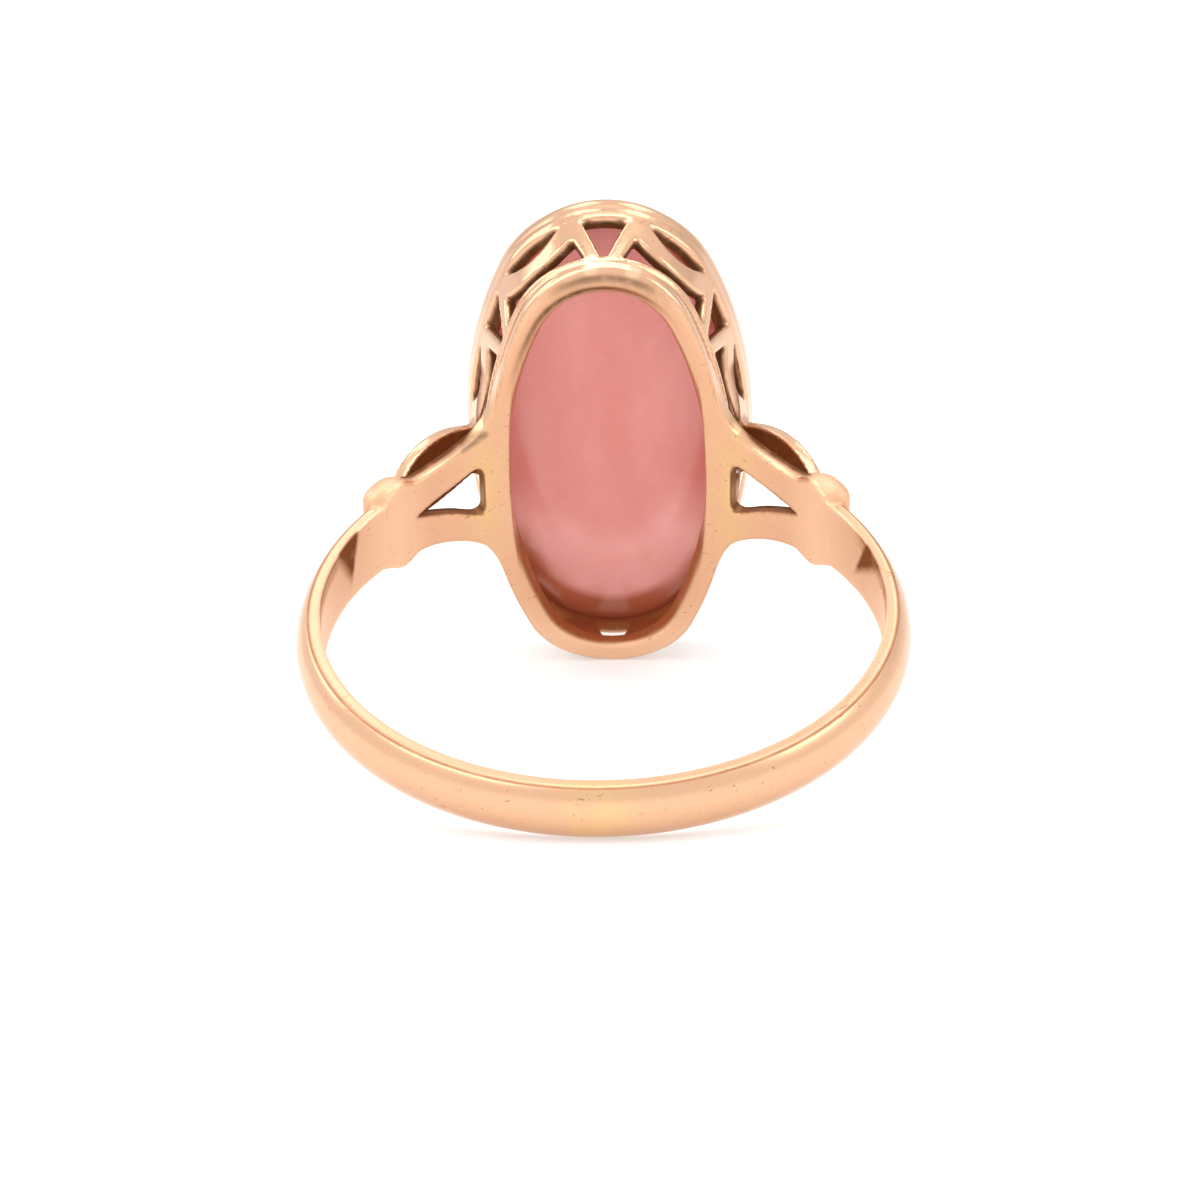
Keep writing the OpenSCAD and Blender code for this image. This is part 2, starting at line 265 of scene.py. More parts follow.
class SolderedForm:
    """Distances to the soldered metal of the head and shoulders, in millimetres."""

    # Outline of the shoulder behind the collar and along the arms: way towards the head, half width
    ARM_WAY = (-2.6, -1.2, -0.6, 0.45, 1.1, 1.6, 2.1, 2.7)
    ARM_HALF = (1.30, 1.38, 1.42, 1.68, 1.96, 2.30, 2.90, 3.90)
    # The gap between the arms: way towards the head, half width
    FORK_WAY = (-1.05, -0.5, 0.6, 1.3, 1.8)
    FORK_HALF = (0.0, 0.20, 0.58, 0.88, 0.98)
    FORK_END = 1.68
    # The arms run into the head as far as this angle from it
    ARM_END = math.radians(22.0)
    LEAF_HUB = (-0.65, 4.51)
    LEAF_FROM = math.radians(13.0)
    LEAF_TO = math.radians(54.0)
    # Piercing of the gallery
    VEE_HALF = 0.66
    VEE_FOOT = 0.10
    LENS_HALF = 0.98
    LENS_DROP = 0.66
    LENS_CORNER = 0.08
    CRESCENT_HALF = 1.83
    CRESCENT_PEAK = 1.46
    CRESCENT_TALL = 1.0
    CRESCENT_LOW = 0.36
    # Two fine lines run round the upper end of the rail's face: distance out from its inner edge
    LINES = (0.27, 0.76)
    LINE_DEPTH = 0.05
    LINE_HALF = 0.075
    # They start at this place along the finger and grow to full depth over this length
    LINES_FROM = 3.5
    LINES_GROW = 3.0
    # The gallery leans out more at the sides than at the ends
    SIDE_LEAN = 1.09
    END_LEAN = 0.85
    # The band starts under the main bead and the arms end there: angles from the bead's middle
    BAND_BEFORE = 0.035
    ARM_PAST = 0.07
    # The swept band takes over at a seam that lies this far past the second bead
    SEAM_PAST = math.radians(4.4)

    def __init__(self):
        self.band = sizes("ring_band")
        self.shoulder = sizes("ring_shoulder")
        self.head = sizes("ring_head")
        self.stone = sizes("ring_stone")
        self.oval = Oval(self.head)
        self.finger = self.band.finger
        self.band_out = self.finger + self.band.thick
        self.band_from = self.shoulder.collar - self.BAND_BEFORE
        self.rail_top = self.finger + self.head.rail_thick
        self.holes_top = self.finger + self.head.holes
        self.seat = self.finger + self.head.seat
        self.lean = self.head.flare / self.head.widest
        self.seam = self.shoulder.collar + self.shoulder.bead_2_turn + self.SEAM_PAST
        self.seam_y = (self.finger + self.band.thick / 2) * math.cos(self.seam)
        # The floor, where the rail's end is worn flat, as it lies to the ring's own axes
        self.floor_sin, self.floor_cos = -FINGER["axis"][1], FINGER["axis"][2]
        self.floor_drop = FINGER["pos_m"][2] / MM

    def rubbed(self, rho):
        """1 on the face that lies on the finger, 0 a little above it."""
        return ramp(rho, self.finger + 0.12, self.finger + 0.03)

    def band_half(self, y):
        """Half the band's width at a place along the head's axis."""
        band = self.band
        reach = self.band_out * (1 + math.cos(self.band_from))
        h = np.clip((y + self.band_out) / reach, 0.0, 1.1)
        return (band.width + (band.width_top - band.width) * h ** band.widening) / 2

    def band_section(self, rho, y, z):
        """Distance to the band as if it ran all round, as wide as it is at y."""
        crown = self.band.crown
        face = np.hypot(rho - self.band_out + crown, z) - crown
        outer = common(face, z - self.band_half(y), 0.10)
        return common(outer, self.finger - rho, 0.08)

    def band_form(self, x, y, z, rho):
        """Distance to the band, which starts under the main bead."""
        before = (self.band_from - np.arctan2(x, y)) * rho
        return common(self.band_section(rho, y, z), before, 0.1)

    def beads(self, x, y, z):
        """Distances to the collar's main bead and second bead."""
        s = self.shoulder
        for angle, r, half in ((s.collar, s.bead, s.bead_half),
                               (s.collar + s.bead_2_turn, s.bead_2, s.bead_2_half)):
            out = self.band_out + s.bead_rise - r
            across = np.hypot(x - out * math.sin(angle), y - out * math.cos(angle))
            yield np.hypot(across, np.maximum(z - half + r, 0.0)) - r

    def arms(self, x, y, z, rho):
        """Distance to the shoulder's plate, which forks into two arms."""
        s = self.shoulder
        sin, cos = math.sin(s.middle), math.cos(s.middle)
        way = y * sin - x * cos
        half, slope = smooth_way(way, self.ARM_WAY, self.ARM_HALF)
        outline = (z - half) / np.sqrt(1 + slope ** 2)
        bulge = np.hypot(way + self.finger * math.sin(s.collar - s.middle),
                         z - s.bead_half + s.bead) - s.bead
        outline = joined(outline, bulge, 0.35)
        fork, fork_slope = smooth_way(way, self.FORK_WAY, self.FORK_HALF)
        gap = common((z - fork) / np.sqrt(1 + fork_slope ** 2), way - self.FORK_END, 0.45)
        gap = common(gap, self.FORK_WAY[0] - way, 0.1)
        outline = common(outline, -gap, 0.07)
        plate = common(rho - self.finger - s.arm, self.finger - rho, 0.1)
        angle = np.arctan2(x, y)
        reach = np.maximum(self.ARM_END - angle, angle - s.collar - self.ARM_PAST) * rho
        return common(common(plate, outline, 0.16), reach, 0.1)

    def leaf(self, x, y, z):
        """Distance to the arched leaf strap."""
        s = self.shoulder
        dx, dy = x - self.LEAF_HUB[0], y - self.LEAF_HUB[1]
        bend, thick, edge_r = s.leaf_bend, s.leaf, s.leaf_edge
        sheet = np.abs(np.hypot(dx, dy) - bend + thick / 2) - thick / 2
        middle = (self.LEAF_FROM + self.LEAF_TO) / 2
        along = dy * math.cos(middle) - dx * math.sin(middle)
        edge = np.hypot(along, z + edge_r - s.leaf_half) - edge_r
        angle = np.arctan2(dy, dx)
        ends = np.maximum(self.LEAF_FROM - angle, angle - self.LEAF_TO) * bend
        return common(common(sheet, edge, 0.07), ends, 0.1)

    def piercing(self, way, h):
        """Distance to the openings, on the unrolled gallery: three shapes in each of eight units."""
        unit = self.oval.quarter / 2
        to_vee = np.abs((way + unit / 2) % unit - unit / 2)
        to_lens = np.abs(way % unit - unit / 2)
        tall = self.holes_top - self.rail_top
        slant = (self.VEE_HALF - self.VEE_FOOT) / tall
        vee = (to_vee - self.VEE_FOOT - slant * (h - self.rail_top)) / math.hypot(1, slant)
        vee = common(common(vee, h - self.holes_top, 0.22), self.rail_top - h, 0.1)
        u = to_lens / self.LENS_HALF
        low = self.holes_top - self.LENS_CORNER - self.LENS_DROP * (1 - u * u)
        low_slope = 2 * self.LENS_DROP * u / self.LENS_HALF
        lens = common((low - h) / np.hypot(1, low_slope), h - self.holes_top, 0.12)
        rise = self.CRESCENT_TALL - self.CRESCENT_LOW
        dip = self.CRESCENT_LOW + rise * (to_lens / self.CRESCENT_PEAK) ** 2
        dip_slope = 2 * rise * np.minimum(to_lens, self.CRESCENT_PEAK) / self.CRESCENT_PEAK ** 2
        fall = self.CRESCENT_TALL / (self.CRESCENT_HALF - self.CRESCENT_PEAK)
        tip = fall * (self.CRESCENT_HALF - to_lens)
        above = h - self.rail_top
        crescent = common((above - dip) / np.hypot(1, dip_slope),
                          (above - tip) / math.hypot(1, fall), 0.12)
        crescent = common(crescent, -above, 0.1)
        return np.minimum(np.minimum(vee, lens), crescent)

    def rail_width(self, z):
        """Width of the rail's face, which grows towards the oval's ends and most at the upper one."""
        reach = np.clip(z / self.oval.a, -1, 1)
        return (self.head.rail + self.head.rail_more * reach ** 6
                + self.head.rail_lip * np.maximum(reach, 0.0) ** 6)

    def face_line(self, off, z, rho, line, half):
        """How much a place lies in a line on the upper end of the rail's face, from 0 to 1."""
        up = np.maximum(rho - self.finger, 0.0)
        inward = off + self.rail_width(z)
        grown = np.clip((z - self.LINES_FROM) / self.LINES_GROW, 0.0, 1.0)
        return np.exp(-((inward - line) ** 2 + up ** 2) / half ** 2) * grown

    def off_face(self, off, y, z):
        """How far a place lies outside the gallery's outer face, measured level; z from zero up."""
        more = self.SIDE_LEAN - (self.SIDE_LEAN - self.END_LEAN) * np.clip(z / self.oval.a, 0, 1) ** 4
        return off - self.lean * more * np.maximum(y - self.finger, 0.0)

    def gallery(self, x, y, z_signed, rho):
        """Distance to the head: rail, pierced wall, ledge and bezel."""
        head, stone = self.head, self.stone
        z = np.abs(z_signed)
        off, way = self.oval.place(x, z)
        face = self.off_face(off, y, z) * math.cos(math.atan(self.lean))
        wall = np.abs(face + head.wall / 2) - head.wall / 2
        wall = np.maximum(wall, np.maximum(y - self.seat, self.rail_top - 0.2 - y))
        wall = common(wall, -self.piercing(way, y), 0.12)
        rail_half = self.rail_width(z_signed) / 2
        rail = common(np.abs(off + rail_half) - rail_half, y - self.rail_top, 0.2)
        rail = common(rail, self.finger - rho, 0.34)
        rail = rail + self.LINE_DEPTH * sum(self.face_line(off, z_signed, rho, line, self.LINE_HALF)
                                            for line in self.LINES)
        bay = stone.off + stone.gap
        bezel = common(face, y - self.finger - head.height, 0.75)
        bezel = common(bezel, bay - off, 0.12)
        bezel = np.maximum(bezel, self.holes_top + 0.1 - y)
        ledge_mid = (self.holes_top + 0.08 + self.seat) / 2
        ledge = common(np.abs(y - ledge_mid) - (self.seat - ledge_mid),
                       np.maximum(stone.off - head.ledge - off, face), 0.1)
        metal = joined(joined(wall, rail, 0.16), np.minimum(bezel, ledge), 0.1)
        return np.maximum(metal, np.where(y > self.seat, bay - off, -1.0))

    def metal(self, p):
        """Distance at points given as an array; only the rail differs from one end to the other."""
        x, y, z = np.abs(p[..., 0]), p[..., 1], np.abs(p[..., 2])
        rho = np.hypot(x, y)
        plate = joined(self.band_form(x, y, z, rho), self.arms(x, y, z, rho), 0.3)
        beads = joined(*self.beads(x, y, z), 0.42)
        shoulder = joined(joined(plate, self.leaf(x, y, z), 0.16), beads, 0.09)
        metal = joined(shoulder, self.gallery(x, y, p[..., 2], rho), 0.34)
        metal = np.maximum(metal, self.finger - rho)
        return common(metal, z * self.floor_cos - y * self.floor_sin - self.floor_drop, 0.06)

    def past_seam(self, p):
        """How far points lie beyond the seam where the band takes over."""
        x, y = np.abs(p[..., 0]), p[..., 1]
        return (np.arctan2(x, y) - self.seam) * np.hypot(x, y)

    def __call__(self, p):
        """Distance to the metal on the head's side of the seam."""
        return np.maximum(self.metal(p), self.past_seam(p))


# Drawing a mesh on the zero level

CORNERS = np.array([(i, j, k) for i in (0, 1) for j in (0, 1) for k in (0, 1)])
EDGES = [(a, b) for a in range(8) for b in range(a + 1, 8) if abs(CORNERS[a] - CORNERS[b]).sum() == 1]


def sample_form(form, low, high, step):
    """The form on a grid that is mirrored in x, so that only half of it is worked out."""
    x = np.arange(step / 2, high[0] + step, step)
    y = np.arange(low[1], high[1] + step, step)
    z = np.arange(low[2], high[2] + step, step)
    half = np.empty((len(x), len(y), len(z)), dtype=np.float32)
    for i, value in enumerate(x):
        row = np.stack(np.meshgrid([value], y, z, indexing="ij"), axis=-1)
        half[i] = form(row)[0]
    return np.concatenate([half[::-1], half], axis=0), np.array([-x[-1], y[0], z[0]])


def draw_level(field, start, step):
    """Points and quads on the zero level of a sampled field: a point in each cell that it crosses."""
    inside = (field < 0).astype(np.int8)
    lower, upper = slice(0, -1), slice(1, None)
    some = sum(inside[tuple((lower, upper)[k] for k in corner)] for corner in CORNERS)
    cells = np.argwhere((some > 0) & (some < 8))
    values = np.stack([field[tuple((cells + c).T)] for c in CORNERS], axis=1)
    total = np.zeros((len(cells), 3))
    count = np.zeros(len(cells))
    for a, b in EDGES:
        crossed = (values[:, a] < 0) != (values[:, b] < 0)
        part = values[crossed, a] / (values[crossed, a] - values[crossed, b])
        total[crossed] += CORNERS[a] + part[:, None] * (CORNERS[b] - CORNERS[a])
        count[crossed] += 1
    points = start + (cells + total / count[:, None]) * step
    number = np.full(some.shape, -1, dtype=np.int64)
    number[tuple(cells.T)] = np.arange(len(cells))
    quads = []
    for axis in range(3):
        u, v = np.roll(np.eye(3, dtype=int), -axis, axis=0)[1:]
        here, there = [slice(1, -1)] * 3, [slice(1, -1)] * 3
        here[axis], there[axis] = lower, upper
        change = inside[tuple(here)] - inside[tuple(there)]
        at = np.argwhere(change != 0)
        sign = change[tuple(at.T)]
        at = at + u + v
        quad = np.stack([number[tuple((at - du * u - dv * v).T)]
                         for du, dv in ((1, 1), (0, 1), (0, 0), (1, 0))], axis=1)
        quads.append(np.where(sign[:, None] > 0, quad, quad[:, ::-1]))
    return points, np.concatenate(quads)


def slope_of(form, points, step):
    """Gradient of the form at the points."""
    return np.stack([(form(points + d) - form(points - d)) / (2 * step)
                     for d in np.eye(3) * step], axis=1)


# A blend is flatter than a true distance: its slope squared counts as at least this
FLATTEST = 0.2


def way_to(form, points, step):
    """The way from each point to the form's surface, judged from the slope at the point."""
    slope = slope_of(form, points, step / 10)
    steep = np.maximum((slope ** 2).sum(axis=1), FLATTEST)
    return -(form(points) / steep)[:, None] * slope


def draw_form(form, low, high, step):
    """A mesh of quads on the form's surface, each point moved right onto it."""
    points, quads = draw_level(*sample_form(form, low, high, step), step)
    for _ in range(3):
        points = points + np.clip(way_to(form, points, step), -step / 2, step / 2)
    return points, quads


# Objects

def placed(name, data):
    """A new object of the scene."""
    made = bpy.data.objects.new(name, data)
    bpy.context.collection.objects.link(made)
    return made


def mesh_object(name, points, faces):
    """A smooth mesh object from points on the floor's axes, in metres."""
    mesh = bpy.data.meshes.new(name)
    mesh.from_pydata(points.tolist(), [], faces.tolist())
    mesh.update()
    mesh.shade_smooth()
    return placed(name, mesh)


def loop_object(name, points, closed=True):
    """A line through the points, as a mesh of edges, for a tree to work on."""
    count = len(points)
    edges = [(i, (i + 1) % count) for i in range(count if closed else count - 1)]
    mesh = bpy.data.meshes.new(name)
    mesh.from_pydata(points, edges, [])
    return placed(name, mesh)


def paint(piece, name, *layers):
    """Stores a number per point, the highest of the layers, for the materials."""
    values = np.clip(reduce(np.maximum, layers), 0, 1).astype(np.float32)
    piece.data.attributes.new(name, "FLOAT", "POINT").data.foreach_set("value", values)


def read_out(items, key, width, kind):
    """The numbers that each item of a mesh holds under the key, as an array with a row for each."""
    values = np.empty(width * len(items), dtype=kind)
    items.foreach_get(key, values)
    return values.reshape(-1, width)


# Node trees

def feed(slot, value):
    """Links a wire or an output to a node's input, or gives the input a fixed value."""
    if isinstance(value, Wire):
        value = value.socket
    if isinstance(value, bpy.types.NodeSocket):
        slot.id_data.links.new(value, slot)
    else:
        slot.default_value = value


class Tree:
    """A node tree to which nodes are added in one go."""

    def __init__(self, tree):
        self.tree = tree

    def add(self, kind, *feeds, **values):
        """A node: feeds are (input, wire or fixed value) pairs, values are its properties."""
        node = self.tree.nodes.new(kind)
        for name, value in values.items():
            setattr(node, name, value)
        for slot, value in feeds:
            feed(node.inputs[slot], value)
        return node

    def split(self, vector):
        """The x, y and z of a vector, as wires."""
        parts = self.add("ShaderNodeSeparateXYZ", ("Vector", vector))
        return [Wire(parts.outputs[axis]) for axis in "XYZ"]


class Wire:
    """A number inside a node tree: arithmetic on it adds Math nodes."""

    def __init__(self, socket):
        self.socket = socket

    def math(self, kind, *others):
        """The result of a Math node that takes this number first."""
        node = Tree(self.socket.id_data).add(
            "ShaderNodeMath", *enumerate((self, *others)), operation=kind)
        return Wire(node.outputs[0])

    __add__ = partialmethod(math, "ADD")
    __sub__ = partialmethod(math, "SUBTRACT")
    __mul__ = partialmethod(math, "MULTIPLY")
    __truediv__ = partialmethod(math, "DIVIDE")
    __pow__ = partialmethod(math, "POWER")

    def between(self, low, high):
        """0 at low, 1 at high, smooth from one to the other."""
        node = Tree(self.socket.id_data).add(
            "ShaderNodeMapRange", ("Value", self), ("From Min", low), ("From Max", high),
            interpolation_type="SMOOTHSTEP")
        return Wire(node.outputs["Result"])


class FormTree(Tree):
    """A Geometry Nodes tree that makes one piece from named values."""

    def __init__(self, name, values):
        super().__init__(bpy.data.node_groups.new(name, "GeometryNodeTree"))
        self.values = values
        face = self.tree.interface
        face.new_socket("Geometry", in_out="INPUT", socket_type="NodeSocketGeometry")
        for label, value in values.items():
            kind = type(value).__name__.title()
            face.new_socket(label, in_out="INPUT", socket_type=f"NodeSocket{kind}")
        face.new_socket("Geometry", in_out="OUTPUT", socket_type="NodeSocketGeometry")
        self.start = self.add("NodeGroupInput")

    def value(self, label):
        """One of the named values, as a wire."""
        return Wire(self.start.outputs[label])

    def moved(self, geometry, *place):
        """The geometry with its points at the place that three wires give."""
        spot = self.add("ShaderNodeCombineXYZ", *zip("XYZ", place))
        return self.add("GeometryNodeSetPosition", ("Geometry", geometry),
                        ("Position", spot.outputs["Vector"])).outputs["Geometry"]

    def end(self, geometry):
        """Real geometry with its material comes out of the tree."""
        real = self.add("GeometryNodeRealizeInstances", ("Geometry", geometry))
        dressed = self.add("GeometryNodeSetMaterial", ("Geometry", real.outputs["Geometry"]),
                           ("Material", self.value("Material")))
        self.add("NodeGroupOutput", ("Geometry", dressed.outputs["Geometry"]))

    def make(self, name, host):
        """The plain, smooth mesh that the tree makes on the host, which is used up."""
        modifier = host.modifiers.new("form", "NODES")
        modifier.node_group = self.tree
        for socket in self.tree.interface.items_tree:
            if socket.in_out == "INPUT" and socket.name in self.values:
                modifier[socket.identifier] = self.values[socket.name]
        made = host.evaluated_get(bpy.context.evaluated_depsgraph_get())
        mesh = bpy.data.meshes.new_from_object(made)
        mesh.name = name
        mesh.shade_smooth()
        bpy.data.objects.remove(host)
        return placed(name, mesh)


# Materials

class Finish(Tree):
    """A material with a Principled shader, and short ways to build its colour and bump."""

    def __init__(self, name, **sockets):
        self.material = bpy.data.materials.new(name)
        self.material.use_nodes = True
        super().__init__(self.material.node_tree)
        self.look = settings("ring_colours")
        self.set(**sockets)
        self.place = self.add("ShaderNodeTexCoord").outputs["Object"]

    def set(self, **sockets):
        """Feeds sockets of the shader; their names have _ for a space."""
        for label, value in sockets.items():
            feed(self.tree.nodes["Principled BSDF"].inputs[label.replace("_", " ")], value)

    def stretched(self, scale, turned=(0, 0, 0)):
        """Turned Object coordinates; a scale under 1 draws a pattern out along that axis."""
        return self.add("ShaderNodeMapping", ("Scale", tuple(1 / s for s in scale)),
                        ("Rotation", turned), ("Vector", self.place),
                        vector_type="TEXTURE").outputs["Vector"]

    def noise(self, size, detail=3.0, vector=None, rough=0.5):
        """Cloudy noise whose features are about size millimetres across."""
        node = self.add("ShaderNodeTexNoise", ("Scale", 1 / (size * MM)), ("Detail", detail),
                        ("Roughness", rough), ("Vector", self.place if vector is None else vector))
        return Wire(node.outputs["Fac"])

    def dots(self, apart, radius):
        """Round dots, about one in each cell of the given size, in millimetres."""
        node = self.add("ShaderNodeTexVoronoi", ("Scale", 1 / (apart * MM)), ("Vector", self.place))
        return Wire(node.outputs["Distance"]).between(radius / apart, 0.4 * radius / apart)

    def scratches(self):
        """Sparse hair scratches that run three ways."""
        lines = []
        for turned in ((0.2, 1.2, 0.1), (0.3, 1.9, 0.4), (1.2, 0.4, 2.1)):
            hair = self.noise(0.08, 1.0, self.stretched((1.0, 1.0, 0.02), turned)).between(0.68, 0.76)
            here = self.noise(1.3, 2.0, self.stretched((1.0, 1.0, 1.0), turned)).between(0.52, 0.62)
            lines.append(hair * here)
        return reduce(lambda a, b: a.math("MAXIMUM", b), lines)

    def stored(self, name):
        """What paint() has stored on the piece."""
        return Wire(self.add("ShaderNodeAttribute", attribute_name=name).outputs["Fac"])

    def mix(self, part, a, b):
        """Colour a, turning to b as part goes from 0 to 1; a name is one of the scene's colours."""
        a, b = ((*getattr(self.look, c), 1.0) if isinstance(c, str) else c for c in (a, b))
        return self.add("ShaderNodeMix", ("Factor", part), (6, a), (7, b),
                        data_type="RGBA").outputs[2]

    def bump(self, height, depth, strength):
        """Bump of the given depth in millimetres."""
        node = self.add("ShaderNodeBump", ("Distance", depth * MM), ("Strength", strength),
                        ("Height", height))
        self.set(Normal=node.outputs["Normal"])


@cache
def rose_gold():
    """Polished rose gold: yellower solder, brown tarnish in the recesses, painted shade and painted
    dark reflections in brown, paler painted light and glints, hair scratches, pits.
    """
    f = Finish("rose_gold", Metallic=1.0, Roughness=0.17, IOR=1.25)
    gold = f.mix(f.noise(2.6, 3.0).between(0.42, 0.7) * 0.3, "gold", "gold_pale")
    # Paler gold painted as light on the finger faces and as glints
    gold = f.mix(f.stored("worn"), gold, "worn")
    solder = f.stored("solder") * f.noise(0.7, 4.0).between(0.30, 0.55)
    gold = f.mix(solder * 0.85, gold, "solder")
    scratch = f.scratches()
    pits = f.dots(0.85, 0.07) * f.noise(1.7, 1.0).between(0.54, 0.62)
    # Fire stain, with the painted grey shade of the rail's outer line
    marks_and_shade = f.stored("stain") * (f.noise(0.5, 3.0).between(0.32, 0.52) * 0.4 + 0.6)
    gold = f.mix(marks_and_shade * 0.9, gold, "stain")
    gold = f.mix((scratch * 0.6 + pits * 0.8).math("MINIMUM", 1.0), gold, "tarnish")
    brown = f.stored("tarnish") * (f.noise(0.5, 4.0).between(0.2, 0.7) * 0.25 + 0.85)
    brown = brown.math("MINIMUM", 1.0)
    # Red brown colours of tarnish and of painted shade
    grime_and_shade = f.mix(f.stored("copper"), "tarnish", "copper")
    grime_and_shade = f.mix(f.stored("umber"), grime_and_shade, "umber")
    matt = brown * 0.55 + marks_and_shade * 0.25 + f.stored("satin") * 0.35
    f.set(Base_Color=f.mix(brown, gold, grime_and_shade), Metallic=brown * -0.4 + 1.0,
          Roughness=f.noise(0.8, 5.0) * 0.10 + matt + 0.12)
    dents = f.noise(1.6, 2.0) * 1.5 + f.noise(0.22, 3.0) * (brown + 0.04) * 3.0
    f.bump(dents - scratch * 0.8 - pits * 2.0, 0.004, 0.6)
    return f.material


def rose_quartz():
    """Cloudy pink quartz: faint veils of paler stone, a high polish, painted light near the back's
    lower end and sides, and painted shade in red brown at the ledge.
    """
    f = Finish("rose_quartz", Roughness=0.13, Subsurface_Weight=0.85, Subsurface_Scale=2.6 * MM,
               Subsurface_Radius=(1.0, 0.6, 0.55), IOR=1.544, Coat_Weight=0.25, Coat_Roughness=0.08)
    veil_and_painted_light = f.noise(2.4, 4.0, f.stretched((1.0, 0.4, 0.4)), 0.55).between(0.36, 0.72) * 0.24
    fleck = f.noise(0.35, 5.0, rough=0.7).between(0.5, 0.8) * 0.12
    pale = (f.stored("veil_and_painted_light") * (f.noise(0.9, 3.0) * 0.6 + 0.7) + veil_and_painted_light + fleck).math("MINIMUM", 1.0)
    pink = f.mix(pale, "quartz", "quartz_pale")
    f.set(Base_Color=f.mix(f.stored("shade"), pink, "quartz_deep"))
    f.bump(f.noise(0.9, 3.0), 0.003, 0.4)
    return f.material


def stage_paper():
    """Matt paper of the floor and backdrop, lit a little from below as on a light table."""
    f = Finish("stage_paper", Roughness=0.9, Specular_IOR_Level=0.1,
               Emission_Color=(1.0, 1.0, 1.0, 1.0), Emission_Strength=0.42)
    clouds = (*(c * 0.98 for c in f.look.floor), 1.0)
    f.set(Base_Color=f.mix(f.noise(40.0, 2.0) * 0.3, "floor", clouds))
    return f.material


# Pieces

def seat_piece(piece, node):
    """Attaches a finished piece to the ring's body and hides the CAD part that it stands for."""
    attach(piece, BODY)
    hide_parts(node)


def hidden_places(form, points, normals, reaches):
    """How deep in a recess each point lies: 0 in the open, 1 where other metal stands close by."""
    rooms = [form(points + normals * reach) / reach for reach in reaches]
    return np.mean([np.clip(1.0 - room, 0.0, 1.0) for room in rooms], axis=0)


